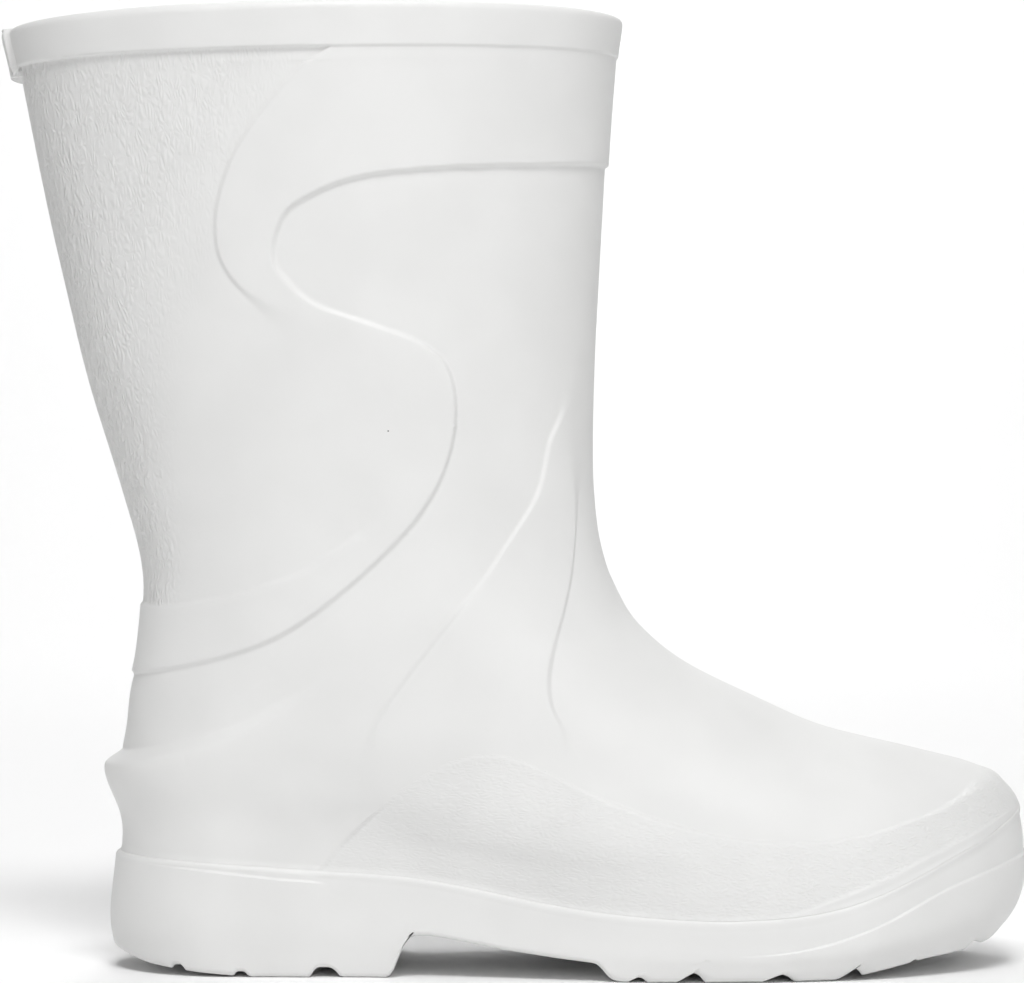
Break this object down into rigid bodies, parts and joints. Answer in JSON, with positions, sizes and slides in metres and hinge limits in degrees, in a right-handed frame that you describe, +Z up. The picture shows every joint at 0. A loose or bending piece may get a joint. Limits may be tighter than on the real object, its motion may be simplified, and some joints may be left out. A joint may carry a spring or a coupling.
{
  "type": "slip-on moulded work boot",
  "caption": "White slip-on moulded work boot: plain collar band, raised shaft and toe panels, heel spur and lugged sole.",
  "frame": {"origin": "on the floor plane, on the flat heel tread, under the middle of the heel", "axes": "+X runs forward to the toe, +Y to the inner side of the foot, +Z up along the shaft"},
  "size_m": [0.339, 0.1192, 0.3111],
  "materials": {
    "upper_foam": "satin",
    "sole_foam": "satin",
    "footbed": "matte"
  },
  "bodies": {
    "root": {"upper": "upper_foam", "outsole": "sole_foam", "insole": "footbed"}
  },
  "joints": []
}
